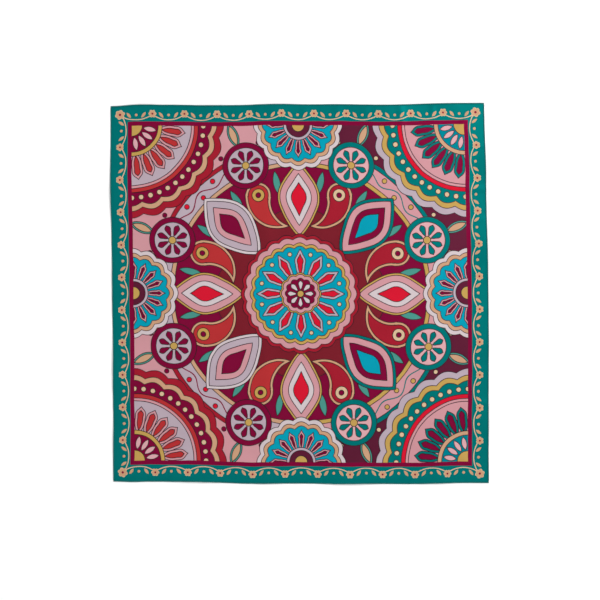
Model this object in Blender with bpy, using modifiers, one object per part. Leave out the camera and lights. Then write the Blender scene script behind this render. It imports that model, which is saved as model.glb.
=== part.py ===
"""A silk square scarf, spread flat with its printed face up.

One square of silk twill, with its edge rolled into a narrow hem on each of the four sides.
Metres, +Z up, +Y towards the top side. The cloth rests on z = 0 and its outline is centred on the origin.
"""

import math

import bmesh
import bpy
import numpy as np

# Driving dimensions of the cloth and its hem
WALL = 0.001
HEM_ROLL = 0.0026
SEAM_GAP = 0.0003

# Cells along each side of the panel. The hems have a ring of points at each of their ends.
CELLS = 40

# Where the corners of the hemmed square lie: it was spread by hand, so it is a little out of true
CORNERS = {
    # corner: (x, y)
    "top_left": (-0.4521, 0.4468),
    "top_right": (0.4411, 0.4549),
    "bottom_left": (-0.4454, -0.4504),
    "bottom_right": (0.4525, -0.4540),
}

# How each side waves in plan: it bows out or is drawn in between its corners
SIDE_WAVES = {
    # side: (share along it from the left or the bottom, how far it stands out, half its length as a share)
    "top": (
        (0.075, 0.0030, 0.075),
        (0.160, 0.0021, 0.100),
        (0.440, 0.0017, 0.100),
        (0.740, -0.0028, 0.150),
    ),
    "bottom": (
        (0.050, 0.0010, 0.050),
        (0.380, 0.0040, 0.180),
        (0.590, 0.0040, 0.180),
        (0.780, 0.0034, 0.160),
    ),
    "left": (
        (0.150, -0.0013, 0.110),
        (0.340, -0.0018, 0.170),
        (0.550, -0.0009, 0.120),
        (0.800, 0.0018, 0.150),
    ),
    "right": (
        (0.500, 0.0045, 0.500),
        (0.840, 0.0013, 0.120),
    ),
}

# Swells: where the cloth stands off the surface. The hem is stiffer than the cloth, so it lifts in low ripples
# all round, and two long soft ridges are left from folding. The middle lies flat.
SWELLS = (
    # (x, y of the top, half its length, half its width, the direction of its length in degrees, height)
    (-0.372, 0.452, 0.075, 0.060, 4.0, 0.0030),
    (-0.215, 0.458, 0.062, 0.048, -5.0, 0.0019),
    (-0.052, 0.460, 0.080, 0.066, 2.0, 0.0026),
    (0.196, 0.458, 0.105, 0.088, -3.0, 0.0038),
    (0.356, 0.462, 0.058, 0.042, 6.0, 0.0017),
    (0.458, 0.300, 0.070, 0.052, 86.0, 0.0024),
    (0.462, 0.095, 0.095, 0.070, 93.0, 0.0031),
    (0.460, -0.128, 0.066, 0.046, 88.0, 0.0018),
    (0.458, -0.315, 0.082, 0.060, 95.0, 0.0027),
    (0.338, -0.460, 0.064, 0.050, 3.0, 0.0021),
    (0.128, -0.462, 0.090, 0.072, -4.0, 0.0034),
    (-0.072, -0.460, 0.060, 0.044, 5.0, 0.0018),
    (-0.248, -0.458, 0.084, 0.064, -2.0, 0.0028),
    (-0.452, -0.352, 0.060, 0.050, 92.0, 0.0021),
    (-0.455, -0.176, 0.088, 0.070, 87.0, 0.0032),
    (-0.456, 0.038, 0.062, 0.046, 94.0, 0.0019),
    (-0.458, 0.236, 0.090, 0.066, 89.0, 0.0029),
    (-0.076, 0.205, 0.190, 0.034, 91.0, 0.0016),
    (-0.082, -0.232, 0.170, 0.030, 88.0, 0.0014),
    (0.112, 0.150, 0.165, 0.030, 87.0, 0.0013),
    (0.104, -0.262, 0.140, 0.028, 92.0, 0.0012),
    (-0.262, 0.118, 0.120, 0.036, 12.0, 0.0011),
    (0.282, -0.086, 0.125, 0.034, -9.0, 0.0012),
)

HEM_RADIUS = HEM_ROLL / 2
HEM_INSET = HEM_RADIUS
PANEL_INSET = HEM_ROLL + SEAM_GAP
HEM_SIDES_RESOLUTION = 2


def bump(distance):
    """A smooth hump: 1 where distance is 0, falling as a raised cosine to 0 where it is 1 or more."""
    return 0.5 + 0.5 * np.cos(math.pi * np.clip(np.abs(distance), 0.0, 1.0))


def side_wave(side, share):
    """How far the side stands out at this share of its length: the sum of its waves."""
    return sum(
        out * bump((share - middle) / reach) for middle, out, reach in SIDE_WAVES[side]
    )


def corner(name, inset):
    """A corner of the square, drawn in by inset along both of its sides."""
    x, y = CORNERS[name]
    return np.array((x - math.copysign(inset, x), y - math.copysign(inset, y)))


def side_points(side, share, inset):
    """Points in plan along one side: its straight line from corner to corner, moved out by its waves."""
    start, end, outward = {
        "top": ("top_left", "top_right", (0.0, 1.0)),
        "bottom": ("bottom_left", "bottom_right", (0.0, -1.0)),
        "left": ("bottom_left", "top_left", (-1.0, 0.0)),
        "right": ("bottom_right", "top_right", (1.0, 0.0)),
    }[side]
    share = np.asarray(share, float)[..., None]
    line = (1 - share) * corner(start, inset) + share * corner(end, inset)
    return line + side_wave(side, share) * np.array(outward)


def outline_middle():
    """The middle of the box round the outline, which the scarf's origin stands on."""
    share = np.linspace(0.0, 1.0, 40 * CELLS + 1)
    edge = np.concatenate([side_points(side, share, 0.0) for side in SIDE_WAVES])
    return (edge.min(axis=0) + edge.max(axis=0)) / 2


def cloth_height(plan):
    """How high the cloth's underside stands at these points in plan: the sum of the swells there."""
    height = np.zeros(plan.shape[:-1])
    for x, y, half_length, half_width, degrees, top in SWELLS:
        along = np.array((math.cos(math.radians(degrees)), math.sin(math.radians(degrees))))
        across = np.array((-along[1], along[0]))
        away = plan - np.array((x, y))
        distance = np.hypot(away @ along / half_length, away @ across / half_width)
        height += top * bump(distance)
    return height


def panel_plan(across, up):
    """Points of the panel in plan, at shares across and up: a patch blended between its four sides."""
    bottom, top = (side_points(side, across, PANEL_INSET) for side in ("bottom", "top"))
    left, right = (side_points(side, up, PANEL_INSET) for side in ("left", "right"))
    across, up = np.asarray(across)[..., None], np.asarray(up)[..., None]
    flat = (
        (1 - across) * (1 - up) * corner("bottom_left", PANEL_INSET)
        + across * (1 - up) * corner("bottom_right", PANEL_INSET)
        + (1 - across) * up * corner("top_left", PANEL_INSET)
        + across * up * corner("top_right", PANEL_INSET)
    )
    return (1 - up) * bottom + up * top + (1 - across) * left + across * right - flat


def placed(plan, rise):
    """Points in plan, centred on the origin and set rise above the cloth's underside."""
    return np.column_stack((plan - outline_middle(), cloth_height(plan) + rise))


def silk(name, colour, roughness):
    """A dyed silk: dull from above, with a little sheen."""
    material = bpy.data.materials.new(name)
    material.use_nodes = True
    shader = material.node_tree.nodes["Principled BSDF"]
    shader.inputs["Base Color"].default_value = (*colour, 1.0)
    shader.inputs["Roughness"].default_value = roughness
    shader.inputs["Metallic"].default_value = 0.0
    shader.inputs["Sheen Weight"].default_value = 0.3
    material.diffuse_color = (*colour, 1.0)
    return material


def make_panel(collection):
    """The square of twill: an even grid laid to the outline, with a wall of WALL above its underside."""
    grid = bmesh.new()
    bmesh.ops.create_grid(grid, x_segments=CELLS, y_segments=CELLS, size=0.5)
    share = np.array([vertex.co[:2] for vertex in grid.verts]) + 0.5
    for vertex, point in zip(grid.verts, placed(panel_plan(share[:, 0], share[:, 1]), 0.0)):
        vertex.co = point
    mesh = bpy.data.meshes.new("panel")
    grid.to_mesh(mesh)
    grid.free()
    mesh.shade_smooth()
    mesh.materials.append(silk("printed silk", (0.42, 0.11, 0.14), 0.45))
    panel = bpy.data.objects.new("panel", mesh)
    collection.objects.link(panel)
    wall = panel.modifiers.new("wall", "SOLIDIFY")
    wall.thickness = WALL
    wall.offset = 1.0
    return panel


def make_hem(collection, side, material):
    """One side's rolled hem: a tube along the edge, resting on the surface where the cloth does.

    The top and bottom hems run the whole width, and the side hems stop at a seam's gap from them.
    """
    share = np.linspace(0.0, 1.0, CELLS + 1)
    plan = side_points(side, share, HEM_INSET)
    along = plan[-1] - plan[0]
    along /= np.linalg.norm(along)
    end = -HEM_INSET if side in ("top", "bottom") else HEM_ROLL / 2 + SEAM_GAP
    plan[0] += end * along
    plan[-1] -= end * along
    path = placed(plan, HEM_RADIUS)
    curve = bpy.data.curves.new(f"hem_{side}", "CURVE")
    curve.dimensions = "3D"
    curve.bevel_depth = HEM_RADIUS
    curve.bevel_resolution = HEM_SIDES_RESOLUTION
    curve.use_fill_caps = True
    spline = curve.splines.new("POLY")
    spline.points.add(len(path) - 1)
    for point, place in zip(spline.points, path):
        point.co = (*place, 1.0)
    curve.materials.append(material)
    hem = bpy.data.objects.new(f"hem_{side}", curve)
    collection.objects.link(hem)
    return hem


for old in list(bpy.data.objects):
    bpy.data.objects.remove(old, do_unlink=True)

scarf = bpy.data.collections.new("silk square scarf")
bpy.context.scene.collection.children.link(scarf)
make_panel(scarf)
hem_silk = silk("hem silk", (0.0, 0.19, 0.18), 0.5)
for side_name in SIDE_WAVES:
    make_hem(scarf, side_name, hem_silk)
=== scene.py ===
"""A silk square scarf, spread flat: printed twill, rolled hems, whip stitches, a table and soft light.

Metres, +Z up. The scarf's middle is at the origin, and its top side, as printed, is towards +Y.
"""

import math

import bpy
import numpy as np
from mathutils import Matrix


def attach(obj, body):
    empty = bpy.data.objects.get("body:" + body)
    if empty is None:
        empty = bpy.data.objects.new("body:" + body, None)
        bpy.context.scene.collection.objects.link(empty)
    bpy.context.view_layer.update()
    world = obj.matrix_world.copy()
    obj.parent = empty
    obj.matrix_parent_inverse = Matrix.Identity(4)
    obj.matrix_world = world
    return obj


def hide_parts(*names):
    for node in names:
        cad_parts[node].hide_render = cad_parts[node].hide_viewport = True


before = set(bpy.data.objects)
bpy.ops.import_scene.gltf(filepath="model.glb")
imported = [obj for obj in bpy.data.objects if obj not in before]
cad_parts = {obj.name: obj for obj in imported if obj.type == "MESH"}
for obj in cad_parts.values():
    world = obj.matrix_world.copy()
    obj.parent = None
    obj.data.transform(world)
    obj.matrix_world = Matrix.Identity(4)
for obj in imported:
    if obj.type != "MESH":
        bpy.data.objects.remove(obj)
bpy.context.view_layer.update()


# ---- The silk square -----------------------------------------------------------------------------
# One square of silk twill, about 90 cm a side once hemmed, spread on a table by hand. It lies slightly out
# of true, its sides wave a little, and it stands off the table in low ripples where the stiff hem lifts it.

HEM_ROLL = 0.0026  # the rolled hem's diameter
SILK_THICKNESS = 0.00025
SILK_CLEARANCE = 0.0003  # from the table to the cloth's underside
FLAT_SIDE = 0.9
SILK_CELLS = 208  # of the mesh, along each side
CROWDING = 0.55  # how far the mesh's lines crowd towards the edges, from 0 for even to 1
OUTLINE_STEPS = 1600  # along each side, to measure the outline
FLAT_MAP = "OFBake"  # the UV map that holds where each point lies on the flat square, as shares of its sides

CORNERS = {
    # corner: (x, y)
    "top_left": (-0.4521, 0.4468),
    "top_right": (0.4411, 0.4549),
    "bottom_left": (-0.4454, -0.4504),
    "bottom_right": (0.4525, -0.4540),
}

SIDES = {
    # side: (its start, its end, the way out of the cloth)
    "top": ("top_left", "top_right", (0.0, 1.0)),
    "bottom": ("bottom_left", "bottom_right", (0.0, -1.0)),
    "left": ("bottom_left", "top_left", (-1.0, 0.0)),
    "right": ("bottom_right", "top_right", (1.0, 0.0)),
}

SIDE_WAVES = {
    # side: (share along it from the left or the bottom, how far it stands out, half its length as a share)
    "top": (
        (0.075, 0.0030, 0.075),
        (0.160, 0.0021, 0.100),
        (0.440, 0.0017, 0.100),
        (0.740, -0.0028, 0.150),
    ),
    "bottom": (
        (0.050, 0.0010, 0.050),
        (0.380, 0.0040, 0.180),
        (0.590, 0.0040, 0.180),
        (0.780, 0.0034, 0.160),
    ),
    "left": (
        (0.150, -0.0013, 0.110),
        (0.340, -0.0018, 0.170),
        (0.550, -0.0009, 0.120),
        (0.800, 0.0018, 0.150),
    ),
    "right": (
        (0.500, 0.0045, 0.500),
        (0.840, 0.0013, 0.120),
    ),
}

SWELLS = (
    # (x, y of the top, half its length, half its width, the direction of its length in degrees, height)
    (-0.372, 0.452, 0.075, 0.060, 4.0, 0.0030),
    (-0.215, 0.458, 0.062, 0.048, -5.0, 0.0019),
    (-0.052, 0.460, 0.080, 0.066, 2.0, 0.0026),
    (0.196, 0.458, 0.105, 0.088, -3.0, 0.0038),
    (0.356, 0.462, 0.058, 0.042, 6.0, 0.0017),
    (0.458, 0.300, 0.070, 0.052, 86.0, 0.0024),
    (0.462, 0.095, 0.095, 0.070, 93.0, 0.0031),
    (0.460, -0.128, 0.066, 0.046, 88.0, 0.0018),
    (0.458, -0.315, 0.082, 0.060, 95.0, 0.0027),
    (0.338, -0.460, 0.064, 0.050, 3.0, 0.0021),
    (0.128, -0.462, 0.090, 0.072, -4.0, 0.0034),
    (-0.072, -0.460, 0.060, 0.044, 5.0, 0.0018),
    (-0.248, -0.458, 0.084, 0.064, -2.0, 0.0028),
    (-0.452, -0.352, 0.060, 0.050, 92.0, 0.0021),
    (-0.455, -0.176, 0.088, 0.070, 87.0, 0.0032),
    (-0.456, 0.038, 0.062, 0.046, 94.0, 0.0019),
    (-0.458, 0.236, 0.090, 0.066, 89.0, 0.0029),
    (-0.076, 0.205, 0.190, 0.034, 91.0, 0.0016),
    (-0.082, -0.232, 0.170, 0.030, 88.0, 0.0014),
    (0.112, 0.150, 0.165, 0.030, 87.0, 0.0013),
    (0.104, -0.262, 0.140, 0.028, 92.0, 0.0012),
    (-0.262, 0.118, 0.120, 0.036, 12.0, 0.0011),
    (0.282, -0.086, 0.125, 0.034, -9.0, 0.0012),
)

CREASES = (
    # The same for finer creases: the first nine are left by two folds and by one across them, and the others
    # are ripples that the hem draws in
    (-0.083, 0.330, 0.120, 0.009, 91.0, 0.00064),
    (-0.080, 0.060, 0.190, 0.010, 89.5, 0.00099),
    (-0.082, -0.190, 0.150, 0.009, 90.5, 0.00077),
    (-0.085, -0.375, 0.100, 0.010, 89.0, 0.00054),
    (0.085, 0.290, 0.140, 0.010, 89.0, 0.00058),
    (0.087, 0.020, 0.165, 0.009, 90.5, 0.00080),
    (0.084, -0.270, 0.175, 0.010, 91.0, 0.00067),
    (-0.300, 0.020, 0.130, 0.012, 1.5, 0.00054),
    (0.255, 0.012, 0.150, 0.011, -1.0, 0.00061),
    (-0.398, 0.418, 0.040, 0.012, 128.0, 0.00112),
    (-0.318, 0.430, 0.036, 0.010, 96.0, 0.00080),
    (-0.268, 0.424, 0.044, 0.013, 84.0, 0.00099),
    (-0.152, 0.436, 0.032, 0.010, 92.0, 0.00070),
    (-0.098, 0.428, 0.046, 0.014, 99.0, 0.00106),
    (0.012, 0.434, 0.034, 0.011, 87.0, 0.00074),
    (0.092, 0.430, 0.042, 0.012, 94.0, 0.00086),
    (0.158, 0.438, 0.030, 0.010, 85.0, 0.00077),
    (0.243, 0.427, 0.048, 0.015, 97.0, 0.00115),
    (0.318, 0.436, 0.032, 0.011, 90.0, 0.00070),
    (0.392, 0.410, 0.046, 0.013, 52.0, 0.00109),
    (0.434, 0.352, 0.034, 0.011, 4.0, 0.00077),
    (0.424, 0.250, 0.046, 0.014, -6.0, 0.00102),
    (0.436, 0.176, 0.030, 0.010, 3.0, 0.00070),
    (0.426, 0.052, 0.044, 0.013, 8.0, 0.00099),
    (0.438, -0.038, 0.030, 0.010, -3.0, 0.00067),
    (0.428, -0.182, 0.042, 0.012, -8.0, 0.00090),
    (0.436, -0.262, 0.032, 0.011, 5.0, 0.00077),
    (0.404, -0.404, 0.048, 0.014, 133.0, 0.00112),
    (0.296, -0.432, 0.036, 0.011, 86.0, 0.00080),
    (0.214, -0.426, 0.046, 0.014, 95.0, 0.00102),
    (0.062, -0.430, 0.040, 0.012, 88.0, 0.00090),
    (-0.010, -0.438, 0.030, 0.010, 93.0, 0.00067),
    (-0.152, -0.428, 0.044, 0.013, 84.0, 0.00096),
    (-0.304, -0.430, 0.038, 0.012, 96.0, 0.00086),
    (-0.396, -0.404, 0.044, 0.013, 47.0, 0.00106),
    (-0.428, -0.272, 0.038, 0.012, -4.0, 0.00083),
    (-0.432, -0.108, 0.042, 0.012, 6.0, 0.00093),
    (-0.438, -0.040, 0.030, 0.010, 0.0, 0.00067),
    (-0.430, 0.128, 0.040, 0.012, -7.0, 0.00090),
    (-0.434, 0.190, 0.032, 0.010, 3.0, 0.00074),
    (-0.428, 0.318, 0.042, 0.013, 9.0, 0.00096),
)


def bump(distance):
    """A smooth hump: 1 where distance is 0, falling as a raised cosine to 0 where it is 1 or more."""
    return 0.5 + 0.5 * np.cos(math.pi * np.clip(np.abs(distance), 0.0, 1.0))


def side_wave(side, share):
    """How far a side stands out at this share of its length: the sum of its waves."""
    return sum(out * bump((share - middle) / reach) for middle, out, reach in SIDE_WAVES[side])


def corner_of(name, inset):
    """A corner of the square, drawn in by inset along both of its sides."""
    x, y = CORNERS[name]
    return np.array((x - math.copysign(inset, x), y - math.copysign(inset, y)))


def side_points(side, share, inset):
    """Points in plan along one side: its straight line from corner to corner, moved out by its waves."""
    start, end, outward = SIDES[side]
    share = np.asarray(share, float)[..., None]
    line = (1 - share) * corner_of(start, inset) + share * corner_of(end, inset)
    return line + side_wave(side, share) * np.array(outward)


def outline_middle():
    """The middle of the box round the outline, which is the scarf's origin."""
    share = np.linspace(0.0, 1.0, OUTLINE_STEPS + 1)
    edge = np.concatenate([side_points(side, share, 0.0) for side in SIDES])
    return (edge.min(axis=0) + edge.max(axis=0)) / 2


def cloth_height(plan):
    """How high the cloth stands off the table at these points in plan: the sum of its swells and creases.

    Each is its height times the bump of hypot(along / half length, across / half width), on its own axes.
    """
    height = np.zeros(plan.shape[:-1])
    for x, y, half_length, half_width, degrees, top in SWELLS + CREASES:
        along = np.array((math.cos(math.radians(degrees)), math.sin(math.radians(degrees))))
        across = np.array((-along[1], along[0]))
        away = plan - np.array((x, y))
        distance = np.hypot(away @ along / half_length, away @ across / half_width)
        height += top * bump(distance)
    return height


def cloth_plan(across, up, inset):
    """Points of the cloth in plan, at shares across and up, with its edge drawn in by inset.

    The bottom and top sides are blended by up and the left and right ones by across. Their sum holds the
    flat patch between the four corners twice, so that is taken away once.
    """
    bottom, top = (side_points(side, across, inset) for side in ("bottom", "top"))
    left, right = (side_points(side, up, inset) for side in ("left", "right"))
    across, up = np.asarray(across)[..., None], np.asarray(up)[..., None]
    flat = (
        (1 - across) * (1 - up) * corner_of("bottom_left", inset)
        + across * (1 - up) * corner_of("bottom_right", inset)
        + (1 - across) * up * corner_of("top_left", inset)
        + across * up * corner_of("top_right", inset)
    )
    return (1 - up) * bottom + up * top + (1 - across) * left + across * right - flat


def mesh_of(name, points, faces):
    """A smooth mesh object from arrays of points and of faces with four corners each."""
    mesh = bpy.data.meshes.new(name)
    mesh.vertices.add(len(points))
    mesh.vertices.foreach_set("co", points.astype(np.float32).ravel())
    mesh.loops.add(faces.size)
    mesh.loops.foreach_set("vertex_index", faces.astype(np.int32).ravel())
    mesh.polygons.add(len(faces))
    mesh.polygons.foreach_set("loop_start", np.arange(0, faces.size, 4, dtype=np.int32))
    mesh.update(calc_edges=True)
    mesh.validate()
    mesh.shade_smooth()
    piece = bpy.data.objects.new(name, mesh)
    bpy.context.scene.collection.objects.link(piece)
    return piece


def grid_faces(rows, columns):
    """Faces of a grid of points, rows by columns, wound so that they face up when rows run along Y."""
    index = np.arange(rows * columns).reshape(rows, columns)
    return np.stack(
        (index[:-1, :-1], index[:-1, 1:], index[1:, 1:], index[1:, :-1]), axis=-1
    ).reshape(-1, 4)


def silk_shell():
    """The cloth as a closed thin shell: its underside, a rim and its face, on one grid of shares.

    The shares crowd towards the edges: share = t - CROWDING * sin(2 pi t) / (2 pi). The underside and the
    face have the same places on the flat map, because the print is the same on both.
    """
    even = np.linspace(0.0, 1.0, SILK_CELLS + 1)
    share = even - CROWDING * np.sin(2 * math.pi * even) / (2 * math.pi)
    across, up = np.meshgrid(share, share)
    plan = cloth_plan(across, up, HEM_ROLL / 2)
    lift = cloth_height(plan) + SILK_CLEARANCE
    underside = np.dstack((plan - MIDDLE, lift)).reshape(-1, 3)
    face = underside + np.array((0.0, 0.0, SILK_THICKNESS))
    top_faces = grid_faces(*across.shape)
    count = len(underside)
    index = np.arange(count).reshape(across.shape)
    loop = np.concatenate((index[0, :-1], index[:-1, -1], index[-1, :0:-1], index[:0:-1, 0]))
    following = np.roll(loop, -1)
    rim = np.stack((loop, following, following + count, loop + count), axis=-1)
    faces = np.concatenate((top_faces[:, ::-1], rim, top_faces + count))
    silk = mesh_of("silk_square", np.concatenate((underside, face)), faces)
    on_flat = np.tile(np.stack((across.ravel(), up.ravel()), axis=-1), (2, 1))
    flat_map = silk.data.uv_layers.new(name=FLAT_MAP)
    flat_map.uv.foreach_set("vector", on_flat[faces.ravel()].astype(np.float32).ravel())
    return silk


MIDDLE = outline_middle()
silk_square = silk_shell()


# ---- The print -----------------------------------------------------------------------------------
# The twill is screen-printed in flat dyes: a teal border with festoons of blossoms, a narrow wine frame, and
# inside it rosettes, petals and paisleys round a medallion, most of them with a thin dark line round them.
# Everything here is in mm from the middle of the print, x to the right and y up.

INKS = {
    "teal": "#026362",
    "blue teal": "#01727F",
    "turquoise": "#088DA2",
    "sage": "#43847A",
    "wine": "#6F0B30",
    "maroon": "#6C1C26",
    "plum": "#4E192C",
    "crimson": "#C3182E",
    "cherry": "#931C2B",
    "brick": "#A72E30",
    "rose": "#BE898F",
    "pale rose": "#C99B9F",
    "lilac": "#AA9AA4",
    "cream": "#C2B5B8",
    "peach": "#BB906F",
    "pale peach": "#C8AB8B",
    "tan": "#BA9173",
    "ochre": "#B3914F",
    "line": "#0D070A",
}

PRINT_MIDDLE = (0.7, 0.4)  # from the square's own middle: the screens were laid a little off it
FIELD_HALF = 400.5  # from the print's middle to the frame
FRAME_HALF = 410.3  # and to the frame's outer edge
LINE = 1.8  # the width of the dark line round a shape
MIX_SHARE, MIX_ONE, MIX_OTHER = 0, 6, 7  # the sockets of a Mix node that mixes colours


def linear(ink):
    """An sRGB hex colour as linear red, green and blue, with an alpha of 1.

    A part up to 0.04045 is divided by 12.92, and a larger one becomes ((part + 0.055) / 1.055) ** 2.4.
    """
    parts = np.array([int(ink[place : place + 2], 16) for place in (1, 3, 5)]) / 255
    shades = np.where(parts <= 0.04045, parts / 12.92, ((parts + 0.055) / 1.055) ** 2.4)
    return (*shades.tolist(), 1.0)


def put(tree, kind, inputs=(), **settings):
    """Adds a node with its settings, gives its inputs values or links, and returns its first live output."""
    node = tree.nodes.new("ShaderNode" + kind)
    for name, value in settings.items():
        setattr(node, name, value)
    named = inputs.items() if isinstance(inputs, dict) else enumerate(inputs)
    for place, value in named:
        if isinstance(value, bpy.types.NodeSocket):
            tree.links.new(value, node.inputs[place])
        else:
            node.inputs[place].default_value = value
    return next((socket for socket in node.outputs if socket.enabled), None)


# Screen-printed silk twill: flat, even inks that follow the cloth. Its weave comes after the print.
printed_silk = bpy.data.materials.new("screen-printed silk twill")
printed_silk.use_nodes = True
silk_tree = printed_silk.node_tree
silk_tree.nodes.clear()


def moved(place, x, y=0.0):
    """The place as seen from the point (x, y)."""
    return put(silk_tree, "VectorMath", (place, (x, y, 0.0)), operation="SUBTRACT")


def turned(place, degrees):
    """The place turned clockwise, so that what lies at this angle comes to lie along x."""
    turn = {"Vector": place, "Angle": -math.radians(degrees)}
    return put(silk_tree, "VectorRotate", turn, rotation_type="Z_AXIS")


def mirrored(place):
    """The place with its left folded over its right, and its lower half over its upper one: |x| and |y|."""
    return put(silk_tree, "VectorMath", (place,), operation="ABSOLUTE")


def quartered(place):
    """The place folded along the square's middles and diagonals: its larger part as x, its smaller as y."""
    part = put(silk_tree, "SeparateXYZ", (mirrored(place),)).node.outputs
    larger = put(silk_tree, "Math", (part["X"], part["Y"]), operation="MAXIMUM")
    smaller = put(silk_tree, "Math", (part["X"], part["Y"]), operation="MINIMUM")
    return put(silk_tree, "CombineXYZ", (larger, smaller))


def from_point(place, x=0.0, y=0.0):
    """How far the place is from the point (x, y)."""
    return put(silk_tree, "VectorMath", (place, (x, y, 0.0)), operation="DISTANCE")


def folded_angle(place, petals):
    """The place's angle, folded back and forth: 0 along each petal, and pi / petals midway between two."""
    part = put(silk_tree, "SeparateXYZ", (place,)).node.outputs
    angle = put(silk_tree, "Math", (part["Y"], part["X"]), operation="ARCTAN2")
    return put(silk_tree, "Math", (angle, math.pi / petals), operation="PINGPONG")


def spun(place, petals):
    """The place folded round its origin, so that what is drawn along x comes on each of so many petals.

    It is distance * (cos, sin) of its folded angle.
    """
    angle = folded_angle(place, petals)
    cosine = put(silk_tree, "Math", (angle,), operation="COSINE")
    sine = put(silk_tree, "Math", (angle,), operation="SINE")
    towards = {"Vector": put(silk_tree, "CombineXYZ", (cosine, sine)), "Scale": from_point(place)}
    return put(silk_tree, "VectorMath", towards, operation="SCALE")


def lobed(place, lobes, depth, turns=0.5):
    """How far out the place is, less depth * cos(turns * lobes * angle), with its angle folded on each lobe.

    With turns at a half it gives round scallops with sharp corners between them, and at one an even wave.
    """
    swing = put(silk_tree, "Math", (folded_angle(place, lobes), turns * lobes), operation="MULTIPLY")
    wave = put(silk_tree, "Math", (swing,), operation="COSINE")
    return put(silk_tree, "Math", (wave, -depth, from_point(place)), operation="MULTIPLY_ADD")


def leaf(place, half_length, half_width, middle=0.0):
    """How far the place is out of a pointed leaf along x, for a place with its lower half folded up.

    The leaf's edge is an arc of radius r = (l * l + w * w) / (2 * w) about a point r - w below its middle,
    l and w being half its length and half its width. The distance is less than 0 inside the leaf.
    """
    radius = (half_length**2 + half_width**2) / (2 * half_width)
    out = from_point(place, middle, half_width - radius)
    return put(silk_tree, "Math", (out, radius), operation="SUBTRACT")


def petal(place, tips, half_width, disc_at, disc_radius, blend):
    """How far the place is out of a petal along x: a pointed leaf from tip to tip, run into a disc."""
    blade = leaf(place, (tips[1] - tips[0]) / 2, half_width, middle=sum(tips) / 2)
    disc = put(silk_tree, "Math", (from_point(place, disc_at), disc_radius), operation="SUBTRACT")
    return put(silk_tree, "Math", (disc, blade, blend), operation="SMOOTH_MIN")


def ramp_of(share, bands, low, high):
    """Flat inks by distance, of which share is 0 at low and 1 at high, and clear past that."""
    node = put(silk_tree, "ValToRGB", (share,)).node
    ramp = node.color_ramp
    ramp.interpolation = "CONSTANT"
    starts = [0.0] + [(reach - low) / (high - low) for reach, _ in bands]
    inks = [ink for _, ink in bands] + [None]
    ramp.elements[1].position = 1.0
    while len(ramp.elements) < len(inks):
        ramp.elements.new(0.5)
    for element, start, ink in zip(ramp.elements, starts, inks):
        element.position = start
        element.color = linear(INKS[ink]) if ink else (0.0, 0.0, 0.0, 0.0)
    return node.outputs


def paint(under, distance, bands, right=None, lined=True):
    """Lays a motif over the print so far, and returns the new print.

    bands are rows of (how far out the ink reaches, ink), from the motif's heart outwards, and right gives
    the inks of the print's right half. If lined, each band has its dark line just past it. An ink of None
    leaves the print bare.
    """
    halves = [bands]
    if right:
        halves.append([(reach, ink) for (reach, _), ink in zip(bands, right)])
    if lined:
        halves = [
            [row for reach, ink in half for row in ((reach, ink), (reach + LINE, "line"))] for half in halves
        ]
    low, high = halves[0][0][0] - 1.0, halves[0][-1][0]
    span = high - low
    share = put(silk_tree, "Math", (distance, 1 / span, -low / span), operation="MULTIPLY_ADD")
    ramps = [ramp_of(share, half, low, high) for half in halves]
    colour = ramps[0]["Color"]
    if right:
        by_half = {MIX_SHARE: on_the_right, MIX_ONE: colour, MIX_OTHER: ramps[1]["Color"]}
        colour = put(silk_tree, "Mix", by_half, data_type="RGBA")
    over = {MIX_SHARE: ramps[0]["Alpha"], MIX_ONE: under, MIX_OTHER: colour}
    return put(silk_tree, "Mix", over, data_type="RGBA")


# Where a point lies in the print, with the slight waver that the screens leave in every line
WAVER = 2.4  # from one side to the other
WAVER_LENGTH = 45.0
SIDE_MM = 1000 * FLAT_SIDE
on_square = {"Vector": put(silk_tree, "UVMap", uv_map=FLAT_MAP), "Scale": SIDE_MM}
from_corner = put(silk_tree, "VectorMath", on_square, operation="SCALE")
steady = moved(from_corner, SIDE_MM / 2 + PRINT_MIDDLE[0], SIDE_MM / 2 + PRINT_MIDDLE[1])
waver = put(silk_tree, "TexNoise", {"Vector": steady, "Scale": 1 / WAVER_LENGTH, "Detail": 1.0}).node
drift = put(
    silk_tree,
    "VectorMath",
    (waver.outputs["Color"], (WAVER, WAVER, 0.0), (-WAVER / 2, -WAVER / 2, 0.0)),
    operation="MULTIPLY_ADD",
)
centred = put(silk_tree, "VectorMath", (steady, drift), operation="ADD")
rightwards = put(silk_tree, "SeparateXYZ", (centred,)).node.outputs["X"]
on_the_right = put(silk_tree, "Math", (rightwards, 0.0), operation="GREATER_THAN")
by_corner = mirrored(centred)
by_axis = quartered(centred)
by_diagonal = mirrored(turned(by_axis, 45))
between = mirrored(turned(by_axis, 22.5))
from_middle = from_point(centred)

# The ground, with a string of beads and leaves outside the great ring
grounds = {MIX_SHARE: on_the_right, MIX_ONE: linear(INKS["rose"]), MIX_OTHER: linear(INKS["plum"])}
dyed = put(silk_tree, "Mix", grounds, data_type="RGBA")
dyed = paint(dyed, from_point(spun(centred, petals=48), x=373), [(4.4, "wine")], right=["pale peach"])
dyed = paint(
    dyed,
    leaf(between, half_length=32, half_width=13, middle=409),
    [(-6, "tan"), (-LINE, "sage")],
)

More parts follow.
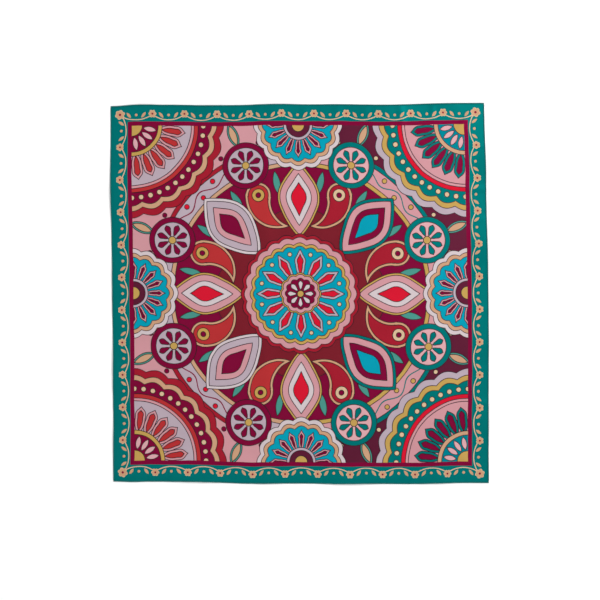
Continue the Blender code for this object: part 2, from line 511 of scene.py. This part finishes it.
# The great ring, with a vine waving round it and a berry in each of its bends
dyed = paint(
    dyed,
    from_middle,
    [(302, "wine"), (312, "tan"), (348, "lilac"), (358, "cherry")],
    right=["wine", "ochre", "rose", "teal"],
)
VINE_OUT = 331
VINE_BENDS = 24
off_vine = put(
    silk_tree,
    "Math",
    (lobed(centred, lobes=VINE_BENDS, depth=8, turns=1.0), VINE_OUT),
    operation="SUBTRACT",
)
vine = put(silk_tree, "Math", (off_vine,), operation="ABSOLUTE")
dyed = paint(dyed, vine, [(1.5, "wine")], right=["teal"], lined=False)
for degrees, out in ((0, VINE_OUT - 7), (180 / VINE_BENDS, VINE_OUT + 8)):
    berry = from_point(spun(turned(centred, degrees), petals=VINE_BENDS), x=out)
    dyed = paint(dyed, berry, [(4.8, "crimson")], right=["ochre"])

# A quarter of a rosette in each corner
corner = moved(by_corner, FIELD_HALF, FIELD_HALF)
corner_out = from_point(corner)
dyed = paint(
    dyed,
    lobed(corner, lobes=24, depth=9),
    [(182, "wine"), (195, "tan"), (211, "cherry")],
    right=["teal", "ochre", "lilac"],
)
dyed = paint(dyed, from_point(spun(corner, petals=48), x=172), [(5.2, "pale peach")])
dyed = paint(
    dyed,
    corner_out,
    [(142, "lilac"), (149, "rose"), (159, "brick")],
    right=["rose", "rose", "crimson"],
)
dyed = paint(
    dyed,
    petal(
        spun(turned(corner, 7.5), petals=24),
        tips=(62, 131),
        half_width=13,
        disc_at=111,
        disc_radius=13,
        blend=8,
    ),
    [(-7.5, "brick"), (-LINE, "rose")],
    right=["wine", "teal"],
)
dyed = paint(
    dyed,
    corner_out,
    [(24, "ochre"), (62, "wine"), (72, "ochre")],
    right=["ochre", "blue teal", "tan"],
)
seed = leaf(spun(turned(corner, 11.25), petals=16), half_length=17, half_width=7, middle=44)
dyed = paint(dyed, seed, [(-LINE, "pale rose")])

# The great flower round the medallion: a scalloped ground, with leaves and paisleys behind its petals
scallops = turned(centred, 11.25)
dyed = paint(dyed, lobed(scallops, lobes=16, depth=12), [(188, "maroon")])
long_leaf = leaf(spun(scallops, petals=16), half_length=30, half_width=9, middle=268)
dyed = paint(dyed, long_leaf, [(-LINE, "sage")])

# A paisley: a disc for its head, run into a tail that lies between two arcs and past a line through the head
HEAD_OUT = 254
HEAD_RADIUS = 31
ARCS = {
    # arc: (x and y of its middle, radius)
    "outer": (232, -38, 74.9),
    "inner": (206, -78, 60.6),
}
TAIL_ANGLE = math.radians(-30.8)
TAIL_BLEND = 6
curl = turned(by_axis, 22.5)
head = moved(curl, HEAD_OUT)
head_out = from_point(head)
in_outer = (from_point(curl, *ARCS["outer"][:2]), ARCS["outer"][2])
out_of_inner = (ARCS["inner"][2], from_point(curl, *ARCS["inner"][:2]))
crescent = (
    put(silk_tree, "Math", in_outer, operation="SUBTRACT"),
    put(silk_tree, "Math", out_of_inner, operation="SUBTRACT"),
)
past_head = (head, (math.cos(TAIL_ANGLE), math.sin(TAIL_ANGLE), 0.0))
tail = (
    put(silk_tree, "Math", crescent, operation="MAXIMUM"),
    put(silk_tree, "VectorMath", past_head, operation="DOT_PRODUCT"),
)
paisley = (
    put(silk_tree, "Math", (head_out, HEAD_RADIUS), operation="SUBTRACT"),
    put(silk_tree, "Math", tail, operation="MAXIMUM"),
    TAIL_BLEND,
)
dyed = paint(
    dyed,
    put(silk_tree, "Math", paisley, operation="SMOOTH_MIN"),
    [(-8, "brick"), (-LINE, "tan")],
    right=["cherry", "peach"],
)
dyed = paint(dyed, head_out, [(5, "wine"), (14, "ochre")], right=["wine", "pale peach"])

# Its four petals on the diagonals and four between them
dyed = paint(
    dyed,
    petal(by_diagonal, tips=(134, 322), half_width=47, disc_at=236, disc_radius=53, blend=34),
    [(-37, "wine"), (-24, "rose"), (-9, "lilac"), (-LINE, "cream")],
    right=["turquoise", "wine", "rose", "teal"],
)
dyed = paint(
    dyed,
    petal(by_axis, tips=(132, 316), half_width=42, disc_at=230, disc_radius=48, blend=34),
    [(-34, "crimson"), (-22, "cream"), (-7, "rose"), (-LINE, "ochre")],
)

# The roundels on the great ring
roundel = moved(between, VINE_OUT)
roundel_out = from_point(roundel)
spoke = petal(spun(roundel, petals=8), tips=(9, 39), half_width=5.5, disc_at=29, disc_radius=7.5, blend=5)
dyed = paint(dyed, roundel_out, [(42, "lilac"), (54, "wine")], right=["pale rose", "teal"])
dyed = paint(dyed, spoke, [(-LINE, "wine")], right=["teal"])
dyed = paint(dyed, roundel_out, [(8, "ochre")])

# Half of a rosette at the middle of each side
side_rose = moved(by_axis, FIELD_HALF)
rose_petal = petal(
    spun(side_rose, petals=16), tips=(24, 78), half_width=7.5, disc_at=61, disc_radius=8.5, blend=5
)
dyed = paint(dyed, lobed(side_rose, lobes=16, depth=7), [(78, "turquoise"), (88, "tan"), (99, "cream")])
dyed = paint(dyed, rose_petal, [(-6, "wine"), (-LINE, "rose")])
dyed = paint(dyed, from_point(side_rose), [(14, "ochre"), (27, "plum"), (34, "lilac")])

# The medallion
long_petal = petal(
    spun(centred, petals=12), tips=(32, 107), half_width=12, disc_at=78, disc_radius=13.5, blend=7
)
heart_petal = petal(
    spun(centred, petals=8), tips=(8, 33), half_width=5, disc_at=24, disc_radius=6.2, blend=4
)
dyed = paint(
    dyed,
    lobed(centred, lobes=24, depth=6),
    [(106, "turquoise"), (114, "ochre"), (128, "rose"), (136, "cherry")],
)
dyed = paint(dyed, from_point(spun(turned(centred, 15), petals=12), x=96), [(4.2, "pale peach")])
dyed = paint(dyed, long_petal, [(-7.5, "crimson"), (-LINE, "lilac")])
dyed = paint(dyed, lobed(centred, lobes=12, depth=4), [(32, "wine"), (41, "rose"), (45, "ochre")])
dyed = paint(dyed, heart_petal, [(-LINE, "cream")])
dyed = paint(dyed, from_middle, [(7, "ochre")])

# The frame, and the border with its festoons hung between blossoms, the largest of them in the corners
BLOSSOM_PITCH = 78.0
BLOSSOM_OUT = 5.5 * BLOSSOM_PITCH
CORNER_BLOSSOM = 1.25  # its size beside the others'
BUD_OUT = 426
FESTOON_CENTRE = 480  # each festoon is an arc about a point out past the cloth's edge
BORDER_OUT = 470  # past the cloth's edge, so that the teal runs out over it
part = put(silk_tree, "SeparateXYZ", (by_axis,)).node.outputs
by_side = part["X"]
along_unit = put(silk_tree, "Math", (part["Y"], BLOSSOM_PITCH / 2), operation="PINGPONG")
dyed = paint(dyed, by_side, [(FIELD_HALF, None), (FRAME_HALF, "wine"), (BORDER_OUT, "teal")], lined=False)
border = put(silk_tree, "CombineXYZ", (along_unit, by_side))
festoon = from_point(border, y=FESTOON_CENTRE)
bud = from_point(border, y=BUD_OUT)
sprig = leaf(mirrored(turned(moved(border, 18, BUD_OUT), 52)), half_length=8.2, half_width=3.2)
dyed = paint(dyed, festoon, [(64.5, None), (66.7, "pale peach")], lined=False)
dyed = paint(dyed, sprig, [(0, "peach")], lined=False)
dyed = paint(dyed, bud, [(3.2, "peach")], lined=False)
for place, size in (
    (moved(border, BLOSSOM_PITCH / 2, BLOSSOM_OUT), 1.0),
    (turned(moved(by_corner, BLOSSOM_OUT, BLOSSOM_OUT), 45), CORNER_BLOSSOM),
):
    blossom = lobed(place, lobes=6, depth=2.2 * size)
    dyed = paint(dyed, blossom, [(6.0 * size, "peach"), (7.2 * size, "pale peach")], lined=False)
    dyed = paint(dyed, from_point(place), [(2.3 * size, "wine")], lined=False)


# ---- The twill -----------------------------------------------------------------------------------
# Silk twill: fine diagonal ribs with a soft lustre. It takes the dye a little unevenly, and the dye goes
# right through it, so the reverse shows the same print.

RIB_PITCH = 2.6  # mm; the real ribs are about 0.5 mm apart, too fine to be seen, so they are drawn coarser
RIB_HEIGHT = 0.0002  # m, as the bump takes it
CLOUD_LENGTH = 62.0  # mm; across a patch that took the dye a little darker or paler

cloudy = put(silk_tree, "TexNoise", {"Vector": centred, "Scale": 1 / CLOUD_LENGTH, "Detail": 3.0})
strength = {"Value": cloudy, "From Min": 0.25, "From Max": 0.75, "To Min": 0.96, "To Max": 1.04}
density = put(silk_tree, "MapRange", strength)
colour = put(silk_tree, "VectorMath", {"Vector": dyed, "Scale": density}, operation="SCALE")

# The silk's gleam has the dye's own hue at full strength
hue = put(silk_tree, "SeparateColor", (colour,), mode="HSV").node.outputs
gleam = put(silk_tree, "CombineColor", (hue[0], hue[1], 1.0), mode="HSV")

# The ribs run at 45 degrees: their height is sin(2 pi (x + y) / (pitch * sqrt 2))
across_ribs = 2 * math.pi / RIB_PITCH / math.sqrt(2)
rib_places = (centred, (across_ribs, across_ribs, 0.0))
rib_angle = put(silk_tree, "VectorMath", rib_places, operation="DOT_PRODUCT")
ribs = put(silk_tree, "Math", (rib_angle,), operation="SINE")
relief = put(silk_tree, "Bump", {"Strength": 0.12, "Distance": RIB_HEIGHT, "Height": ribs})
silk_shader = put(
    silk_tree,
    "BsdfPrincipled",
    {
        "Base Color": colour,
        "Roughness": 0.32,
        "Specular IOR Level": 0.5,
        "Specular Tint": gleam,
        "Sheen Weight": 0.1,
        "Sheen Roughness": 0.35,
        "Sheen Tint": linear("#F2DADA"),
        "Normal": relief,
    },
)
put(silk_tree, "OutputMaterial", {"Surface": silk_shader})
silk_square.data.materials.append(printed_silk)
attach(silk_square, "root")
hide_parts("panel")


# ---- The rolled hems -----------------------------------------------------------------------------
# The cloth's own edge, rolled between finger and thumb towards the face into a plump cord and sewn down by
# hand. The roll is drawn in a little at every stitch, and its thickness wavers.

STITCH_PITCH = 0.005
HEM_RINGS = 1080  # along each side's roll
HEM_POINTS = 12  # round each ring
DRAWN_IN = 0.11  # share of its radius that the roll loses under a stitch
ROLL_WAVERS = (
    # (share of the roll's radius, wavelength)
    (0.030, 0.103),
    (0.025, 0.043),
)
ROLL_MEAN = 0.97  # the roll's mean radius, as a share of the hem's
ROLL_TIP = 0.2  # the share of its radius that is left at the roll's very end
TUBE_GAP = 0.0003  # between one side's roll and the next, at the corners

# Teal silk twill, rolled: the border's own dye with painted shade, darker the more the roll's surface faces
# down, and a soft sheen
hem_silk = bpy.data.materials.new("teal silk twill, rolled")
hem_silk.use_nodes = True
hem_tree = hem_silk.node_tree
hem_tree.nodes.clear()
# Painted shade: the roll's colour runs from the teal to a darker teal as its surface turns to face down
facing = put(hem_tree, "TexCoord").node.outputs["Normal"]
upright = put(hem_tree, "SeparateXYZ", (facing,)).node.outputs["Z"]
shade_by_facing = {"Value": upright, "From Min": -0.2, "From Max": 0.8, "To Min": 1.0, "To Max": 0.0}
painted_underside_shade = put(hem_tree, "MapRange", shade_by_facing)
hem_lit_and_shaded_teal = {MIX_SHARE: painted_underside_shade, MIX_ONE: linear(INKS["teal"]), MIX_OTHER: linear("#024846")}
hem_shader = put(
    hem_tree,
    "BsdfPrincipled",
    {
        "Base Color": put(hem_tree, "Mix", hem_lit_and_shaded_teal, data_type="RGBA"),
        "Roughness": 0.4,
        "Specular Tint": linear("#4FA8A0"),
        "Sheen Weight": 0.15,
    },
)
put(hem_tree, "OutputMaterial", {"Surface": hem_shader})


def tubes(lines, radii, sides):
    """Points and faces of round tubes along these lines, all at once, each closed at both ends.

    lines is (tubes, rings, 3) and radii (tubes, rings). A ring's points are
    line + radius * (cos(a) * across + sin(a) * over), across being level and both square to the line.
    """
    count, rings = radii.shape
    along = np.gradient(lines, axis=1)
    across = np.cross((0.0, 0.0, 1.0), along)
    across /= np.linalg.norm(across, axis=-1, keepdims=True)
    over = np.cross(along, across)
    over /= np.linalg.norm(over, axis=-1, keepdims=True)
    angle = (2 * math.pi * np.arange(sides) / sides)[:, None]
    ring = np.cos(angle) * across[:, :, None] + np.sin(angle) * over[:, :, None]
    points = lines[:, :, None] + radii[:, :, None, None] * ring
    index = np.arange(rings * sides).reshape(rings, sides)
    following = np.roll(index, -1, axis=1)
    wall = np.stack((index[:-1], following[:-1], following[1:], index[1:]), axis=-1).reshape(-1, 4)
    rung = np.arange(sides // 2 - 1)
    cap = np.stack((rung, rung + 1, sides - rung - 2, sides - rung - 1), axis=-1)
    one = np.concatenate((wall, index[0][cap][:, ::-1], index[-1][cap]))
    faces = one + (np.arange(count) * rings * sides)[:, None, None]
    return points.reshape(-1, 3), faces.reshape(-1, 4)


def side_length(side):
    """The straight distance between a side's two corners."""
    start, end, _ = SIDES[side]
    return np.linalg.norm(corner_of(end, 0) - corner_of(start, 0))


def rolled_hem(side):
    """One side's roll, resting where the cloth does. The top and bottom rolls run the whole width.

    Its radius is drawn in by |cos(pi * place / pitch)| ** 6, with its place counted from the side's corner
    as the stitches' places are. It wavers as a sum of sines, and ends in a quarter circle.
    """
    reach = -HEM_ROLL / 2 if side in ("top", "bottom") else HEM_ROLL / 2 + TUBE_GAP
    share = np.linspace(reach / FLAT_SIDE, 1 - reach / FLAT_SIDE, HEM_RINGS)
    plan = side_points(side, share, HEM_ROLL / 2)
    line = np.column_stack((plan - MIDDLE, cloth_height(plan)))
    run = np.concatenate(([0.0], np.cumsum(np.linalg.norm(np.diff(line, axis=0), axis=1))))
    place = share * side_length(side)
    plump = 1 - DRAWN_IN * np.abs(np.cos(math.pi * place / STITCH_PITCH)) ** 6
    waver = sum(part * np.sin(2 * math.pi * run / wavelength) for part, wavelength in ROLL_WAVERS)
    radius = HEM_ROLL / 2 * plump * (ROLL_MEAN + waver)
    line[:, 2] += radius
    from_end = np.clip(np.minimum(run, run[-1] - run) / (HEM_ROLL / 2), 0.0, 1.0)
    radius = radius * np.sqrt(np.clip(1 - (1 - from_end) ** 2, ROLL_TIP**2, 1.0))
    hem = mesh_of(f"rolled_hem_{side}", *tubes(line[None], radius[None], HEM_POINTS))
    hem.data.materials.append(hem_silk)
    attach(hem, "root")
    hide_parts(f"hem_{side}")
    return hem


hems = [rolled_hem(side) for side in SIDES]


# ---- The whip stitches ---------------------------------------------------------------------------
# Short slanting stitches of matching silk thread hold the roll down, from its shoulder to the cloth beside
# it. They are sewn one by one, so their places and their slant vary a little.

THREAD_RADIUS = 0.00016
STITCH_ARC = (
    # (in from the roll's middle, up) for its start on the roll, the point that it bends towards, and its end
    # inside the cloth
    (0.00060, 0.00197),
    (0.00130, 0.00158),
    (0.00200, 0.00042),
)
STITCH_SLANT = 0.0014  # along the hem, from end to end
PITCH_SCATTER = 0.12  # how far a stitch is off its place either way, as a share of the pitch
SLANT_SCATTER = 0.2  # and off its slant, as a share of that
THREAD_TIP = 0.35  # the share of its radius that is left at the thread's very end
THREAD_RINGS = 7  # along each stitch
THREAD_POINTS = 6  # round each ring


def stitches_along(side, dice):
    """The middle lines and radii of one side's stitches, all at once.

    Each line is (1 - s)^2 start + 2 s (1 - s) bend + s^2 end, slanting along the hem from where the roll is
    drawn in, and the thread's radius shrinks towards its ends by sqrt(1 - |2 s - 1|^4).
    """
    span = side_length(side)
    count = int(span / STITCH_PITCH) - 1
    scatter = dice.uniform(-PITCH_SCATTER, PITCH_SCATTER, count)
    places = (np.arange(count) + 1 + scatter) * STITCH_PITCH / span
    step = np.linspace(0.0, 1.0, THREAD_RINGS)
    slant = STITCH_SLANT * dice.uniform(1 - SLANT_SCATTER, 1 + SLANT_SCATTER, count)
    share = places[:, None] + slant[:, None] * step / span
    weights = np.stack(((1 - step) ** 2, 2 * step * (1 - step), step**2), axis=-1)
    inwards, up = (weights @ np.array(STITCH_ARC)).T
    plan = side_points(side, share, HEM_ROLL / 2) - inwards[:, None] * np.array(SIDES[side][2])
    lines = np.dstack((plan - MIDDLE, cloth_height(plan) + up))
    radius = THREAD_RADIUS * np.sqrt(np.clip(1 - np.abs(2 * step - 1) ** 4, THREAD_TIP**2, 1.0))
    return lines, np.tile(radius, (count, 1))


dice = np.random.default_rng(11)
stitches = [stitches_along(side, dice) for side in SIDES]
stitch_lines, stitch_radii = (np.concatenate(parts) for parts in zip(*stitches))
whip_stitches = mesh_of("whip_stitches", *tubes(stitch_lines, stitch_radii, THREAD_POINTS))

# Teal silk thread, twisted: smooth, so it catches a point of light on each stitch
thread = bpy.data.materials.new("teal silk thread, twisted")
thread.use_nodes = True
thread_shader = thread.node_tree.nodes["Principled BSDF"]
thread_shader.inputs["Base Color"].default_value = linear(INKS["teal"])
thread_shader.inputs["Roughness"].default_value = 0.35
whip_stitches.data.materials.append(thread)
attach(whip_stitches, "root")


# ---- The table, the light and the camera ---------------------------------------------------------
# A wide table of matt white paper in a white studio that is darker overhead, with a soft window of light
# towards the top right. The camera looks straight down, a little off the scarf's middle.

TABLE_SIDE = 60.0
bpy.ops.mesh.primitive_plane_add(size=TABLE_SIDE)
table = bpy.context.object
table.name = "white_table"

# Matt white paper: an even white with no gloss
paper = bpy.data.materials.new("matt white paper")
paper.use_nodes = True
paper_shader = paper.node_tree.nodes["Principled BSDF"]
paper_shader.inputs["Base Color"].default_value = linear("#FAFAFA")
paper_shader.inputs["Roughness"].default_value = 0.9
paper_shader.inputs["Specular IOR Level"].default_value = 0.1
table.data.materials.append(paper)

STUDIO_ZONES = (
    # (how high up, as the sine of its angle, brightness): a white horizon and a ring of soft light
    (0.10, 0.96),
    (0.20, 0.24),
    (0.50, 0.24),
    (0.54, 2.80),
    (0.66, 2.80),
    (0.74, 0.30),
    (0.95, 0.20),
)

world = bpy.data.worlds.new("white studio")
world.use_nodes = True
studio_tree = world.node_tree
background = studio_tree.nodes["Background"]
towards = put(studio_tree, "TexCoord").node.outputs["Generated"]
height = put(studio_tree, "SeparateXYZ", (towards,)).node.outputs["Z"]
zones = put(studio_tree, "ValToRGB", (height,)).node
ramp = zones.color_ramp
ramp.interpolation = "EASE"
while len(ramp.elements) < len(STUDIO_ZONES):
    ramp.elements.new(0.5)
brightest = max(strength for _, strength in STUDIO_ZONES)
for element, (at, strength) in zip(ramp.elements, STUDIO_ZONES):
    element.position = at
    element.color = (*[strength / brightest] * 3, 1.0)
studio_tree.links.new(zones.outputs["Color"], background.inputs["Color"])
background.inputs["Strength"].default_value = brightest
bpy.context.scene.world = world

WINDOW_WATTS = 78
WINDOW_SIDE = 2.2
WINDOW_PLACE = (1.9, 1.35, 3.0)
WINDOW_TILT = (-0.38, 0.54, 0.0)  # radians about X, Y and Z, so that it faces the scarf's middle
window_data = bpy.data.lights.new("window", "AREA")
window_data.energy = WINDOW_WATTS
window_data.size = WINDOW_SIDE
window = bpy.data.objects.new("window", window_data)
window.location = WINDOW_PLACE
window.rotation_euler = WINDOW_TILT
bpy.context.scene.collection.objects.link(window)

PICTURE_SIDE = 600
MM_PER_PIXEL = 2.39
SCARF_PIXEL = (299.6, 293.45)  # where the scarf's middle stands in the picture
LENS = 85.0
SENSOR = 36.0
seen_side = PICTURE_SIDE * MM_PER_PIXEL / 1000
camera_data = bpy.data.cameras.new("camera")
camera_data.lens = LENS
camera_data.sensor_width = SENSOR
camera = bpy.data.objects.new("camera", camera_data)
camera.location = (
    (PICTURE_SIDE / 2 - SCARF_PIXEL[0]) * MM_PER_PIXEL / 1000,
    -(PICTURE_SIDE / 2 - SCARF_PIXEL[1]) * MM_PER_PIXEL / 1000,
    seen_side * LENS / SENSOR,
)
bpy.context.scene.collection.objects.link(camera)
bpy.context.scene.camera = camera
bpy.context.scene.view_settings.view_transform = "Standard"
